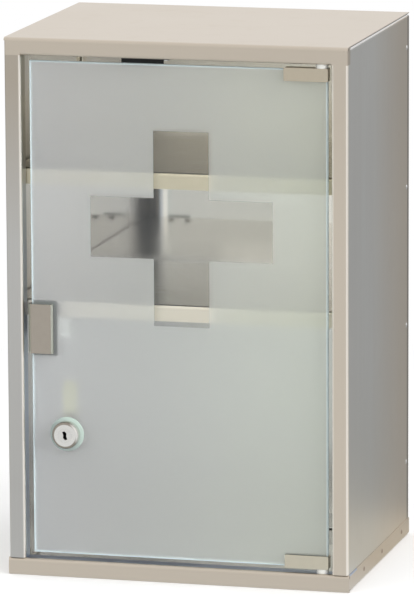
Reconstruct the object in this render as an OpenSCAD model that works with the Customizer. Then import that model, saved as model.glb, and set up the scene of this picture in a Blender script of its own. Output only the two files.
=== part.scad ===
// Lockable wall cabinet of folded steel sheet with a frosted glass door.
// Origin: centre of the underside. +X right, +Y towards the wall, +Z up, door on the -Y side.

/* [Cabinet] */
// Outside width of the bottom pan
cab_w = 300; // [260:5:450]
// Outside depth of the bottom pan
cab_d = 230; // [160:5:300]
// Outside height
cab_h = 465; // [435:5:700]
// Thickness of all folded sheet
sheet_t = 0.8; // [0.6:0.1:1.2]
// Inside radius of the folds
fold_in_r = 2; // [1.2:0.1:2.6]

/* [Front frame] */
// Width of the two upright frame flanges
frame_w = 15; // [12:0.5:22]
// Height of the frame bands at the top and the bottom
band_h = 15; // [12:0.5:22]
// Depth of the returns behind the frame's front face
return_d = 14; // [13:0.5:14.5]
// Height of the pan's lips outside the walls
pan_lip = 15; // [12:0.5:20]
// Width of the hidden joining flanges
join_w = 12; // [9:0.5:14]
// Width of the back panel's forward side flanges
back_flange_w = 13; // [11:0.5:14]

/* [Shelves] */
// Height of the upper shelf's top face
upper_shelf_z = 352; // [325:1:370]
// Height of the lower shelf's top face
lower_shelf_z = 238.5; // [220:0.5:260]
// Height of the shelves' front lips
shelf_lip = 14; // [10:0.5:18]
// Setback of the shelves behind the frame's front face
shelf_setback = 15; // [15:0.5:20]

/* [Glass door] */
// Thickness of the pane
glass_t = 5; // [4:0.5:6]
// Setback of the pane behind the frame's front face
glass_setback = 5; // [4:0.5:6]
// Gap between the pane's free edge and the frame's upright
side_gap = 6.5; // [5.5:0.5:8]
// Gap between the pane's hinged edge and the frame's upright
hinge_gap = 4.5; // [4:0.5:8]
// Gap between the pane and the frame at its top and bottom
end_gap = 4.8; // [4.5:0.1:7]
// Arris ground on the pane's edges
glass_arris = 0.6; // [0.3:0.1:1]

/* [Hinges] */
// Length of the two hinge clips
clip_len = 38; // [30:1:45]
// Height of the hinge clips, with the web beyond the pane
clip_h = 11.2; // [10.8:0.2:18]
// Thickness of the clips' plates
clip_plate = 1.5; // [1.2:0.1:1.6]
// Thickness of the plastic pads in the clips
pad_t = 0.4; // [0.4:0.1:0.8]
// Thickness of the clips' walls past the pane's edge
clip_wall = 0.8; // [0.8:0.1:1.8]
// Radius of the pivot pins
pivot_r = 2; // [1.5:0.1:2.4]
// Distance from the pivot axis to the pane's edge
pivot_in = 5; // [4:0.5:6]
// Radius of the bushes' collars
collar_r = 5.2; // [4.6:0.1:5.6]

/* [Lock] */
// Height of the lock's axis
lock_z = 124.5; // [105:0.5:140]
// Distance from the lock's axis to the pane's edge
lock_in = 30.5; // [29.5:0.5:33]
// Radius of the lock's bezel on the pane
bezel_r = 11.8; // [11:0.1:13]
// Radius of the lock's front face
face_r = 9.7; // [9:0.1:10.6]
// How far the lock's face stands in front of the pane
lock_out = 8; // [7:0.5:13]
// Radius of the threaded barrel
barrel_r = 9; // [8:0.1:9.4]
// Radius of the turning plug
plug_r = 6; // [5:0.1:6.5]
// Length of the cam from the lock's axis
cam_len = 45; // [42:0.5:48]
// Width of the cam
cam_w = 12; // [9:0.5:14]

/* [Catch] */
// Height of the strike clip on the pane
strike_h = 42.5; // [36:0.5:50]
// Width of the strike clip
strike_w = 21.5; // [18:0.5:24]
// Thickness of the strike clip's front plate
strike_plate = 3; // [2:0.2:3.6]
// Thickness of the strike clip's wall past the pane's free edge
strike_wall = 2.4; // [1.6:0.2:3.4]
// Height of the magnetic catch's front
catch_h = 18; // [14:0.5:20]
// Width of the magnetic catch
catch_w = 28; // [27:0.5:34]
// Depth of the magnetic catch
catch_deep = 25; // [22:0.5:30]
// Distance from the magnetic catch to the frame's upright
catch_in = 9; // [7:0.5:12]

/* [Door stop] */
// Length of the rubber stop
stop_len = 36; // [25:1:50]
// Distance from the stop's left end to the cabinet's middle
stop_off = 49; // [30:1:60]

/* [Fixings] */
// Radius of the rivet heads
rivet_head_r = 2.2; // [1.8:0.1:3]
// Distance from the pan's front to its first rivets
pan_rivet_front = 56; // [30:1:65]
// Distance from the pan's middle to its second rivets
pan_rivet_mid = 9; // [-10:1:10]
// Distance from the pan's rear to its last rivets
pan_rivet_rear = 30; // [15:1:45]
// Distance from the top edge of the pan's lips to the rivets
pan_rivet_down = 6.5; // [4:0.5:6.5]
// Height of the lowest rivets of the back
back_rivet_low = 67; // [30:1:100]
// Distance from the cabinet's top to the highest rivets of the back
back_rivet_down = 30; // [20:1:60]
// Radius of the wall screw holes
wall_hole_r = 3.5; // [2.5:0.1:5]
// Distance between the wall screw holes across the back
wall_hole_dx = 220; // [160:5:225]
// Distance between the wall screw holes up the back
wall_hole_dz = 340; // [300:5:385]

/* [Hidden] */
$fn = 48;

// clearances
fit = 0.05;       // round fits
seat_gap = 0.1;   // faces that slide or swing past each other
wall_gap = 0.3;   // loose neighbours
cut = 1;          // overrun of a cutting shape
lap = 1;          // how far the sections of one folded sheet run into each other

// shell, outermost faces first
fold_r = fold_in_r + sheet_t;
pan_x = cab_w / 2;
wall_x = pan_x - sheet_t;
flange_x = wall_x - sheet_t;
inner_x = flange_x - sheet_t;
frame_x = pan_x - frame_w;
front_y = -cab_d / 2;
rear_y = cab_d / 2;
rear_in_y = rear_y - sheet_t;
return_y = front_y + return_d;
roof_z = cab_h - sheet_t;
band_z = cab_h - band_h;
sill_z = band_h;
wall_low_z = fold_r + 0.2;
band_tab = 6;

// pane and its swing axis
glass_left = side_gap - frame_x;
glass_right = frame_x - hinge_gap;
glass_front_y = front_y + glass_setback;
glass_rear_y = glass_front_y + glass_t;
glass_mid_y = glass_front_y + glass_t / 2;
glass_low_z = sill_z + end_gap;
glass_top_z = band_z - end_gap;
pivot_x = glass_right - pivot_in;

// clips on the pane: both sides of the pane get a pad and a plate
clip_front_y = glass_front_y - pad_t - clip_plate;
clip_rear_y = glass_rear_y + pad_t + clip_plate;
clip_web = clip_wall + pad_t;
clip_end_x = glass_right + clip_wall;
clip_corner_r = 1;
set_screw_r = 2;
set_screw_out = 0.8;
set_screw_pitch = 14;
bush_stem_r = pivot_r + 1.5;
bush_stem_h = 3.5;
collar_h = end_gap - clip_web - seat_gap;

// lock
lock_x = glass_left + lock_in;
gasket_t = 0.8;
gasket_r = bezel_r + 3;
rim_h = 2.5;
face_y = glass_front_y - lock_out;
washer_t = 0.8;
nut_t = 3.6;
nut_r = barrel_r + 4;
barrel_end_y = glass_rear_y + washer_t + nut_t + 0.8;
cam_t = 1.6;
cam_y = barrel_end_y + 0.4;
cam_screw_r = 2;
cam_screw_head_r = 3.6;
cam_screw_head_h = 2.2;
key_depth = 7;
key_tilt = 20;

// strike clip and magnetic catch, hung under the lower shelf's lip
strike_x = glass_left - strike_wall;
strike_front_y = glass_front_y - pad_t - strike_plate;
strike_pad_out = 2.5;
catch_top_z = lower_shelf_z - shelf_lip - wall_gap;
catch_mid_z = catch_top_z - catch_h / 2;
catch_x = -frame_x + catch_in;
catch_front_y = clip_rear_y + 1;
strike_screw_up = 6;
pole_t = 1.2;
magnet_w = 14;
magnet_h = 6.4;
magnet_deep = 12;
catch_screw_r = 1.5;
catch_screw_head_r = 3;
catch_screw_head_h = 1.6;

magnet_in = 3;
catch_screw_in = 6;
catch_screw_rear = 8;
catch_screw_deep = 8.5;

// rubber door stop under the top band's return
stop_x = -stop_off;
stop_lap = 2.5;
stop_tab = 7;
stop_tab_deep = 8;
stop_tab_t = 1;
stop_rivet_x = stop_x + stop_len + stop_tab / 2;
stop_rivet_y = return_y - 5;

// rivets
rivet_r = 1.6;
rivet_head_h = 0.7;
rivet_tail_r = 2.1;
rivet_tail_h = 1;
pan_rivet_z = pan_lip - pan_rivet_down;
pan_rivets_y = [front_y + pan_rivet_front, pan_rivet_mid, rear_y - pan_rivet_rear];
back_rivet_y = rear_y - fold_r - join_w / 2;
back_rivets = 4;
back_rivet_step = (cab_h - back_rivet_down - back_rivet_low) / (back_rivets - 1);

steel = [0.74, 0.71, 0.66];
bright_steel = [0.86, 0.84, 0.80];
brushed_steel = [0.62, 0.58, 0.53];

// ---------- shared shapes ----------

// a flat outline in X and Z, drawn out along Y
module along_y(y0, y1) {
    translate([0, y1, 0]) rotate([90, 0, 0]) linear_extrude(y1 - y0) children();
}

// a flat outline in Y and Z, drawn out along X
module along_x(x0, x1) {
    translate([x0, 0, 0]) rotate([90, 0, 90]) linear_extrude(x1 - x0) children();
}

// a flat outline in X and Y, drawn out along Z
module along_z(z0, z1) {
    translate([0, 0, z0]) linear_extrude(z1 - z0) children();
}

// box between two corners
module span(low, high) {
    translate(low) cube(high - low);
}

// section of a fold: a quarter ring about (u, v), first quadrant turned by the angle
module fold(u, v, angle) {
    translate([u, v]) rotate(angle) intersection() {
        difference() {
            circle(r = fold_r);
            circle(r = fold_in_r);
        }
        square(fold_r);
    }
}

// strip of sheet in a section, between two corners
module strip(low, high) {
    translate(low) square(high - low);
}

// rectangle with round corners, between two corners
module round_rect(low, high, r) {
    strip(low + [r, 0], high - [r, 0]);
    strip(low + [0, r], high - [0, r]);
    for (u = [low[0] + r, high[0] - r], v = [low[1] + r, high[1] - r]) {
        translate([u, v]) circle(r = r);
    }
}

// puts a shape drawn along +Z at a place, pointing towards -Y
module facing_front(x, y, z) {
    translate([x, y, z]) rotate([90, 0, 0]) children();
}

// ---------- shell ----------

// upright section of a side panel: wall, front flange and return
module side_section() {
    strip([flange_x, front_y + fold_r], [wall_x, rear_y]);
    fold(wall_x - fold_r, front_y + fold_r, -90);
    strip([frame_x + fold_r, front_y], [wall_x - fold_r, front_y + sheet_t]);
    fold(frame_x + fold_r, front_y + fold_r, 180);
    strip([frame_x, front_y + fold_r], [frame_x + sheet_t, return_y]);
}

// section of the wall's top edge and the flange that carries the top panel
module side_top_section() {
    strip([flange_x, roof_z - fold_r - lap], [wall_x, roof_z - fold_r]);
    fold(wall_x - fold_r, roof_z - fold_r, 0);
    strip([wall_x - fold_r - join_w, roof_z - sheet_t], [wall_x - fold_r, roof_z]);
}

module side_panel() {
    difference() {
        union() {
            along_z(wall_low_z, roof_z - fold_r) {
                strip([flange_x, return_y + wall_gap], [wall_x, rear_y]);
            }
            along_z(sill_z, band_z) side_section();
            along_z(band_z - lap, roof_z - fold_r) {
                strip([flange_x, front_y + fold_r + band_tab + wall_gap], [wall_x, return_y + lap]);
            }
            along_y(front_y + fold_r + band_tab + wall_gap, rear_in_y) side_top_section();
        }
        pan_rivet_holes();
        back_rivet_holes();
    }
}

module right_side() {
    color(steel) side_panel();
}

module left_side() {
    color(steel) mirror([1, 0, 0]) side_panel();
}

// section of the top panel's roof and its front fold
module roof_section() {
    strip([front_y + fold_r, roof_z], [rear_y, cab_h]);
    fold(front_y + fold_r, cab_h - fold_r, 90);
}

// section of the top panel between the frame's uprights: roof, band and return
module top_section() {
    roof_section();
    strip([front_y, band_z + fold_r], [front_y + sheet_t, cab_h - fold_r]);
    fold(front_y + fold_r, band_z + fold_r, 180);
    strip([front_y + fold_r, band_z], [return_y, band_z + sheet_t]);
}

// the band's right end: flat over the frame's upright, then folded back to lie in line with the wall
module band_end() {
    along_z(band_z + fold_r, cab_h - fold_r) {
        strip([frame_x - lap, front_y], [frame_x, front_y + sheet_t]);
    }
    along_z(band_z, cab_h - fold_r) {
        strip([frame_x, front_y], [wall_x - fold_r, front_y + sheet_t]);
        fold(wall_x - fold_r, front_y + fold_r, -90);
    }
    along_z(band_z, roof_z + sheet_t / 2) {
        strip([flange_x, front_y + fold_r], [wall_x, front_y + fold_r + band_tab]);
    }
}

module top_panel() {
    color(bright_steel) difference() {
        union() {
            along_x(-wall_x, wall_x) roof_section();
            along_x(-frame_x, frame_x) top_section();
            for (side = [0, 1]) mirror([side, 0, 0]) band_end();
        }
        translate([pivot_x, glass_mid_y, band_z - cut]) {
            cylinder(r = bush_stem_r + fit, h = sheet_t + 2 * cut);
        }
        translate([stop_rivet_x, stop_rivet_y, band_z - cut]) {
            cylinder(r = rivet_r + fit, h = sheet_t + 2 * cut);
        }
    }
}

// section of the pan's front: lower fold, band and upper fold
module pan_band_section() {
    fold(front_y + fold_r, fold_r, 180);
    strip([front_y, fold_r], [front_y + sheet_t, sill_z - fold_r]);
    fold(front_y + fold_r, sill_z - fold_r, 90);
}

// section of the sill behind the band
module sill_section() {
    pan_band_section();
    strip([front_y + fold_r, sill_z - sheet_t], [return_y, sill_z]);
}

// section of the pan's floor and its rear lip, in front of the back panel
module floor_section() {
    strip([front_y + fold_r, 0], [rear_in_y - fold_r, sheet_t]);
    fold(rear_in_y - fold_r, fold_r, -90);
    strip([rear_in_y - sheet_t, fold_r], [rear_in_y, pan_lip]);
}

// section of the pan's right lip, outside the side panel
module side_lip_section() {
    strip([pan_x - fold_r - lap, 0], [pan_x - fold_r, sheet_t]);
    fold(pan_x - fold_r, fold_r, -90);
    strip([wall_x, fold_r], [pan_x, pan_lip]);
}

module bottom_pan() {
    rear_lip_x = flange_x - fold_r;
    color(steel) difference() {
        union() {
            along_x(-rear_lip_x, rear_lip_x) {
                sill_section();
                floor_section();
            }
            along_x(fold_r - pan_x, pan_x - fold_r) {
                sill_section();
                strip([front_y + fold_r, 0], [rear_in_y - fold_r, sheet_t]);
            }
            along_x(-pan_x, pan_x) pan_band_section();
            along_x(-wall_x, wall_x) sill_section();
            for (side = [0, 1]) mirror([side, 0, 0]) {
                along_y(front_y + fold_r, rear_y) side_lip_section();
                span([wall_x, front_y + sheet_t, fold_r], [pan_x, front_y + fold_r + lap, sill_z - fold_r]);
            }
        }
        translate([pivot_x, glass_mid_y, sill_z - sheet_t - cut]) {
            cylinder(r = bush_stem_r + fit, h = sheet_t + 2 * cut);
        }
        for (side = [0, 1]) mirror([side, 0, 0]) pan_rivet_holes();
    }
}

// level section of the back panel: sheet and two forward flanges
module back_section() {
    half_x = flange_x - fold_r;
    strip([-half_x, rear_in_y], [half_x, rear_y]);
    for (side = [0, 1]) mirror([side, 0]) {
        fold(half_x, rear_y - fold_r, 0);
        strip([inner_x, rear_y - fold_r - back_flange_w], [flange_x, rear_y - fold_r]);
    }
}

module back_panel() {
    top_flange_x = wall_x - fold_r - join_w - wall_gap;
    color(steel) difference() {
        union() {
            along_z(wall_low_z, roof_z - fold_r) back_section();
            for (side = [0, 1]) mirror([side, 0, 0]) {
                span([top_flange_x - lap, rear_in_y, roof_z - fold_r - lap],
                    [flange_x - fold_r, rear_y, roof_z - fold_r]);
                span([top_flange_x + wall_gap, rear_in_y, roof_z - fold_r - lap],
                    [flange_x - fold_r, rear_y, roof_z - sheet_t]);
            }
            along_x(-top_flange_x, top_flange_x) {
                strip([rear_in_y, roof_z - fold_r - lap], [rear_y, roof_z - fold_r]);
                fold(rear_y - fold_r, roof_z - fold_r, 0);
                strip([rear_y - fold_r - join_w, roof_z - sheet_t], [rear_y - fold_r, roof_z]);
            }
        }
        for (x = [-0.5, 0.5] * wall_hole_dx, z = [-0.5, 0.5] * wall_hole_dz) {
            facing_front(x, rear_y + cut, cab_h / 2 + z) cylinder(r = wall_hole_r, h = sheet_t + 2 * cut);
        }
        for (side = [0, 1]) mirror([side, 0, 0]) back_rivet_holes();
    }
}

// ---------- shelves ----------

// folded tray with a deep front lip, shallow side lips and a plain rear edge
module shelf(top_z) {
    shelf_y = front_y + shelf_setback;
    side_end_y = rear_y - fold_r - back_flange_w - wall_gap;
    along_x(fold_r - flange_x, flange_x - fold_r) {
        fold(shelf_y + fold_r, top_z - fold_r, 90);
        strip([shelf_y + fold_r, top_z - sheet_t], [rear_in_y, top_z]);
    }
    along_x(-flange_x, flange_x) {
        fold(shelf_y + fold_r, top_z - fold_r, 90);
        strip([shelf_y, top_z - shelf_lip], [shelf_y + sheet_t, top_z - fold_r]);
    }
    for (side = [0, 1]) mirror([side, 0, 0]) {
        along_y(shelf_y + fold_r, side_end_y) {
            strip([flange_x - fold_r - lap, top_z - sheet_t], [flange_x - fold_r, top_z]);
            fold(flange_x - fold_r, top_z - fold_r, 0);
            strip([inner_x, top_z - join_w], [flange_x, top_z - fold_r]);
        }
    }
}

module upper_shelf() {
    color(brushed_steel) shelf(upper_shelf_z);
}

module lower_shelf() {
    color(brushed_steel) difference() {
        shelf(lower_shelf_z);
        catch_screw_places() {
            translate([0, 0, -sheet_t - cut]) cylinder(r = catch_screw_r + fit, h = sheet_t + 2 * cut);
        }
    }
}

// ---------- rivets ----------

// rivet along +X through two sheets; its head seats at x = 0
module rivet() {
    sphere_r = (pow(rivet_head_r, 2) + pow(rivet_head_h, 2)) / (2 * rivet_head_h);
    rotate([0, 90, 0]) {
        intersection() {
            translate([0, 0, rivet_head_h - sphere_r]) sphere(r = sphere_r);
            cylinder(r = rivet_head_r + cut, h = rivet_head_h + cut);
        }
        translate([0, 0, -2 * sheet_t]) cylinder(r = rivet_r, h = 2 * sheet_t);
        translate([0, 0, -2 * sheet_t - rivet_tail_h]) cylinder(r = rivet_tail_r, h = rivet_tail_h);
    }
}

module pan_rivet_places() {
    for (y = pan_rivets_y) translate([pan_x, y, pan_rivet_z]) children();
}

module back_rivet_places() {
    for (i = [0 : back_rivets - 1]) {
        translate([wall_x, back_rivet_y, back_rivet_low + i * back_rivet_step]) children();
    }
}

module rivet_hole() {
    translate([-2 * sheet_t - cut, 0, 0]) rotate([0, 90, 0]) {
        cylinder(r = rivet_r + fit, h = 2 * sheet_t + 2 * cut);
    }
}

module pan_rivet_holes() {
    pan_rivet_places() rivet_hole();
}

module back_rivet_holes() {
    back_rivet_places() rivet_hole();
}

module right_pan_rivets() {
    color(bright_steel) pan_rivet_places() rivet();
}

module left_pan_rivets() {
    color(bright_steel) mirror([1, 0, 0]) pan_rivet_places() rivet();
}

module right_back_rivets() {
    color(bright_steel) back_rivet_places() rivet();
}

module left_back_rivets() {
    color(bright_steel) mirror([1, 0, 0]) back_rivet_places() rivet();
}

// ---------- door ----------

module glass_door() {
    a = glass_arris;
    half_y = glass_t / 2;
    color([0.78, 0.84, 0.82, 0.6]) difference() {
        intersection() {
            along_z(glass_low_z, glass_top_z) translate([0, glass_mid_y]) {
                polygon([
                    [glass_left, a - half_y], [glass_left + a, -half_y],
                    [glass_right - a, -half_y], [glass_right, a - half_y],
                    [glass_right, half_y - a], [glass_right - a, half_y],
                    [glass_left + a, half_y], [glass_left, half_y - a]
                ]);
            }
            along_x(glass_left, glass_right) translate([glass_mid_y, 0]) {
                polygon([
                    [-half_y, glass_low_z + a], [a - half_y, glass_low_z],
                    [half_y - a, glass_low_z], [half_y, glass_low_z + a],
                    [half_y, glass_top_z - a], [half_y - a, glass_top_z],
                    [a - half_y, glass_top_z], [-half_y, glass_top_z - a]
                ]);
            }
        }
        facing_front(lock_x, glass_rear_y + cut, lock_z) cylinder(r = barrel_r + 0.5, h = glass_t + 2 * cut);
    }
}

// everything of a hinge is drawn for the top and mirrored for the bottom
module at_both_ends(top) {
    if (top) children();
    else translate([0, 0, cab_h]) mirror([0, 0, 1]) children();
}

module set_screw_places() {
    for (i = [0, 1]) {
        translate([clip_end_x - clip_len / 2 + (i - 0.5) * set_screw_pitch, glass_rear_y + pad_t,
            glass_top_z - (clip_h - clip_web) / 2]) children();
    }
}

module hinge_clip() {
    low_z = glass_top_z + clip_web - clip_h;
    high_z = glass_top_z + clip_web;
    difference() {
        along_y(clip_front_y, clip_rear_y) {
            round_rect([clip_end_x - clip_len, low_z], [clip_end_x, high_z], clip_corner_r);
        }
        span([clip_end_x - clip_len - cut, glass_front_y - pad_t, low_z - cut],
            [glass_right, glass_rear_y + pad_t, glass_top_z + pad_t]);
        translate([pivot_x, glass_mid_y, glass_top_z]) cylinder(r = pivot_r + fit, h = clip_web + cut);
        set_screw_places() rotate([-90, 0, 0]) cylinder(r = set_screw_r + fit, h = clip_plate + cut);
    }
}

// channel of soft plastic between the clip and the pane
module hinge_pad() {
    low_z = glass_top_z + clip_web - clip_h;
    difference() {
        span([clip_end_x - clip_len, glass_front_y - pad_t, low_z],
            [glass_right, glass_rear_y + pad_t, glass_top_z + pad_t]);
        span([clip_end_x - clip_len - cut, glass_front_y, low_z - cut],
            [glass_right + cut, glass_rear_y, glass_top_z]);
    }
}

// headless screw with a hexagon socket, its tip on the pad
module set_screw() {
    rotate([-90, 0, 0]) difference() {
        cylinder(r = set_screw_r, h = clip_plate + set_screw_out);
        translate([0, 0, set_screw_out]) cylinder(r = set_screw_r / 2, h = clip_plate + cut, $fn = 6);
    }
}

module pivot_pin() {
    translate([pivot_x, glass_mid_y, glass_top_z + pad_t]) {
        cylinder(r = pivot_r, h = clip_wall + seat_gap + collar_h + bush_stem_h);
    }
}

// collared bush in the frame's return
module pivot_bush() {
    translate([pivot_x, glass_mid_y, band_z]) difference() {
        union() {
            translate([0, 0, -collar_h]) cylinder(r = collar_r, h = collar_h);
            cylinder(r = bush_stem_r, h = bush_stem_h);
        }
        translate([0, 0, -collar_h - cut]) cylinder(r = pivot_r + fit, h = collar_h + bush_stem_h + 2 * cut);
    }
}

module top_clip() {
    color(bright_steel) at_both_ends(true) hinge_clip();
}

module bottom_clip() {
    color(bright_steel) at_both_ends(false) hinge_clip();
}

module top_clip_pad() {
    color([0.12, 0.12, 0.12]) at_both_ends(true) hinge_pad();
}

module bottom_clip_pad() {
    color([0.12, 0.12, 0.12]) at_both_ends(false) hinge_pad();
}

module top_clip_screws() {
    color([0.3, 0.3, 0.32]) at_both_ends(true) set_screw_places() set_screw();
}

module bottom_clip_screws() {
    color([0.3, 0.3, 0.32]) at_both_ends(false) set_screw_places() set_screw();
}

module top_pivot_pin() {
    color(bright_steel) at_both_ends(true) pivot_pin();
}

module bottom_pivot_pin() {
    color(bright_steel) at_both_ends(false) pivot_pin();
}

module top_bush() {
    color([0.93, 0.91, 0.88]) at_both_ends(true) pivot_bush();
}

module bottom_bush() {
    color([0.93, 0.91, 0.88]) at_both_ends(false) pivot_bush();
}

// rubber strip behind the pane's top edge, with a tab for its rivet
module door_stop() {
    color([0.08, 0.08, 0.08]) difference() {
        union() {
            span([stop_x, glass_rear_y + seat_gap, glass_top_z - stop_lap],
                [stop_x + stop_len, return_y, band_z]);
            span([stop_x + stop_len - cut, return_y - stop_tab_deep, band_z - stop_tab_t],
                [stop_x + stop_len + stop_tab, return_y, band_z]);
        }
        translate([stop_rivet_x, stop_rivet_y, band_z - stop_tab_t - cut]) {
            cylinder(r = rivet_r + fit, h = stop_tab_t + 2 * cut);
        }
    }
}

module stop_rivet() {
    color(bright_steel) translate([stop_rivet_x, stop_rivet_y, band_z - stop_tab_t]) {
        translate([0, 0, -rivet_head_h]) cylinder(r = rivet_head_r, h = rivet_head_h);
        cylinder(r = rivet_r, h = stop_tab_t + sheet_t);
        translate([0, 0, stop_tab_t + sheet_t]) cylinder(r = rivet_tail_r, h = rivet_tail_h);
    }
}

// ---------- strike and magnetic catch ----------

// block closed round the pane's free edge, its front bevelled on both sides
module strike_section() {
    edge_bevel_w = 2.6;
    far_bevel_w = 1.6;
    bevel_d = strike_plate * 2 / 3;
    nick = 0.5;
    end_x = strike_x + strike_w;
    web_x = glass_left - pad_t;
    polygon([
        [strike_x, strike_front_y + bevel_d], [strike_x + edge_bevel_w, strike_front_y],
        [end_x - far_bevel_w, strike_front_y], [end_x, strike_front_y + bevel_d],
        [end_x, glass_front_y - pad_t], [web_x, glass_front_y - pad_t],
        [web_x, glass_rear_y + pad_t], [end_x, glass_rear_y + pad_t],
        [end_x, clip_rear_y], [strike_x + nick, clip_rear_y], [strike_x, clip_rear_y - nick]
    ]);
}

module at_strike_screw() {
    translate([strike_x + strike_w / 2, glass_rear_y + pad_t,
        catch_mid_z - strike_h / 2 + strike_screw_up]) children();
}

module strike_clip() {
    color(brushed_steel) difference() {
        along_z(catch_mid_z - strike_h / 2, catch_mid_z + strike_h / 2) strike_section();
        at_strike_screw() rotate([-90, 0, 0]) cylinder(r = set_screw_r + fit, h = clip_plate + cut);
    }
}

// soft plastic round the pane inside the strike; its rear leaf shows past the metal
module strike_pad() {
    low_z = catch_mid_z - strike_h / 2;
    high_z = catch_mid_z + strike_h / 2;
    color([0.12, 0.12, 0.12]) difference() {
        union() {
            span([glass_left - pad_t, glass_front_y - pad_t, low_z],
                [strike_x + strike_w, glass_rear_y + pad_t, high_z]);
            span([glass_left, glass_rear_y, low_z - strike_pad_out],
                [strike_x + strike_w + strike_pad_out, glass_rear_y + pad_t, high_z + strike_pad_out]);
        }
        span([glass_left, glass_front_y, low_z - cut],
            [strike_x + strike_w + cut, glass_rear_y, high_z + cut]);
    }
}

module strike_screw() {
    color([0.3, 0.3, 0.32]) at_strike_screw() set_screw();
}

// corner of the magnet's pocket that lies lowest, in front and to the left
pocket = [catch_x + magnet_in, catch_front_y, catch_mid_z - magnet_h / 2 - pole_t];

module catch_screw_places() {
    for (x = [catch_screw_in, catch_w - catch_screw_in]) {
        translate([catch_x + x, catch_front_y + catch_deep - catch_screw_rear, lower_shelf_z]) children();
    }
}

module catch_body() {
    behind_lip_y = front_y + shelf_setback + fold_r;
    rear = catch_front_y + catch_deep;
    color([0.92, 0.95, 0.92]) difference() {
        union() {
            span([catch_x, catch_front_y, catch_top_z - catch_h], [catch_x + catch_w, rear, catch_top_z]);
            span([catch_x, behind_lip_y, catch_top_z - cut],
                [catch_x + catch_w, rear, lower_shelf_z - sheet_t]);
        }
        translate(pocket - [0, cut, 0]) cube([magnet_w, magnet_deep + cut, magnet_h + 2 * pole_t]);
        catch_screw_places() translate([0, 0, -sheet_t - catch_screw_deep]) {
            cylinder(r = catch_screw_r + fit, h = catch_screw_deep + cut);
        }
    }
}

module catch_magnet() {
    color([0.22, 0.22, 0.24]) translate(pocket + [0, 0, pole_t]) cube([magnet_w, magnet_deep, magnet_h]);
}

// steel plates above and below the magnet, reaching to the strike clip
module catch_poles() {
    reach = catch_front_y - clip_rear_y - seat_gap;
    color(bright_steel) for (z = [0, magnet_h + pole_t]) {
        translate(pocket + [0, -reach, z]) cube([magnet_w, magnet_deep + reach, pole_t]);
    }
}

module catch_screws() {
    color(bright_steel) catch_screw_places() {
        cylinder(r = catch_screw_head_r, h = catch_screw_head_h);
        translate([0, 0, -sheet_t - catch_screw_deep]) {
            cylinder(r = catch_screw_r, h = sheet_t + catch_screw_deep);
        }
    }
}

// ---------- lock ----------

// shapes of the lock are turned about its axis; local +Z points out of the door
module at_lock(y) {
    facing_front(lock_x, y, lock_z) children();
}

module lock_body() {
    foot = gasket_t;
    color(bright_steel) at_lock(glass_front_y) difference() {
        rotate_extrude() polygon([
            [0, glass_front_y - barrel_end_y], [barrel_r, glass_front_y - barrel_end_y],
            [barrel_r, foot], [bezel_r, foot],
            for (turn = [0:15:90]) [
                face_r + (bezel_r - face_r) * cos(turn), lock_out - rim_h * (1 - sin(turn))
            ],
            [0, lock_out]
        ]);
        translate([0, 0, glass_front_y - barrel_end_y - cut]) {
            cylinder(r = plug_r + fit, h = barrel_end_y - glass_front_y + lock_out + 2 * cut);
        }
    }
}

module lock_gasket() {
    color([0.75, 0.9, 0.86]) at_lock(glass_front_y) difference() {
        cylinder(r = gasket_r, h = gasket_t);
        translate([0, 0, -cut]) cylinder(r = barrel_r + fit, h = gasket_t + 2 * cut);
    }
}

module lock_washer() {
    color([0.12, 0.12, 0.12]) at_lock(glass_rear_y + washer_t) difference() {
        cylinder(r = nut_r - 0.5, h = washer_t);
        translate([0, 0, -cut]) cylinder(r = barrel_r + fit, h = washer_t + 2 * cut);
    }
}

module lock_nut() {
    color(bright_steel) at_lock(glass_rear_y + washer_t + nut_t) difference() {
        cylinder(r = nut_r, h = nut_t, $fn = 6);
        translate([0, 0, -cut]) cylinder(r = barrel_r + fit, h = nut_t + 2 * cut);
    }
}

// section of the keyway: a narrow slot with a ward stepping in from each side
module keyway_section() {
    slot_h = plug_r * 1.25;
    slot_w = 2.2;
    ward = 0.9;
    rotate(key_tilt) polygon([
        [-slot_w / 2, -slot_h / 2], [slot_w / 2, -slot_h / 2], [slot_w / 2, -slot_h / 8],
        [slot_w / 2 + ward, slot_h / 8], [slot_w / 2 + ward, slot_h / 4], [slot_w / 2, slot_h / 2],
        [-slot_w / 2, slot_h / 2], [-slot_w / 2, slot_h / 8], [-slot_w / 2 - ward, -slot_h / 8],
        [-slot_w / 2 - ward, -slot_h / 4]
    ]);
}

module lock_plug() {
    color(bright_steel) at_lock(cam_y) difference() {
        cylinder(r = plug_r, h = cam_y - face_y);
        translate([0, 0, cam_y - face_y - key_depth]) linear_extrude(key_depth + cut) keyway_section();
        translate([0, 0, -cut]) cylinder(r = cam_screw_r + fit, h = 6 + cut);
    }
}

// tongue that turns behind the frame's return; at rest it points up
module lock_cam() {
    color([0.78, 0.7, 0.45]) at_lock(cam_y + cam_t) difference() {
        linear_extrude(cam_t) {
            circle(r = plug_r + 2);
            strip([-cam_w / 2, 0], [cam_w / 2, cam_len - cam_w / 2]);
            translate([0, cam_len - cam_w / 2]) circle(r = cam_w / 2);
        }
        translate([0, 0, -cut]) cylinder(r = cam_screw_r + fit, h = cam_t + 2 * cut);
    }
}

module cam_screw() {
    color([0.3, 0.3, 0.32]) at_lock(cam_y + cam_t + cam_screw_head_h) difference() {
        union() {
            cylinder(r = cam_screw_head_r, h = cam_screw_head_h);
            translate([0, 0, cam_screw_head_h]) cylinder(r = cam_screw_r, h = cam_t + 5);
        }
        for (turn = [0, 90]) rotate(turn) {
            translate([-cam_screw_head_r / 2, -0.4, -cut]) cube([cam_screw_head_r, 0.8, 1 + cut]);
        }
    }
}

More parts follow.
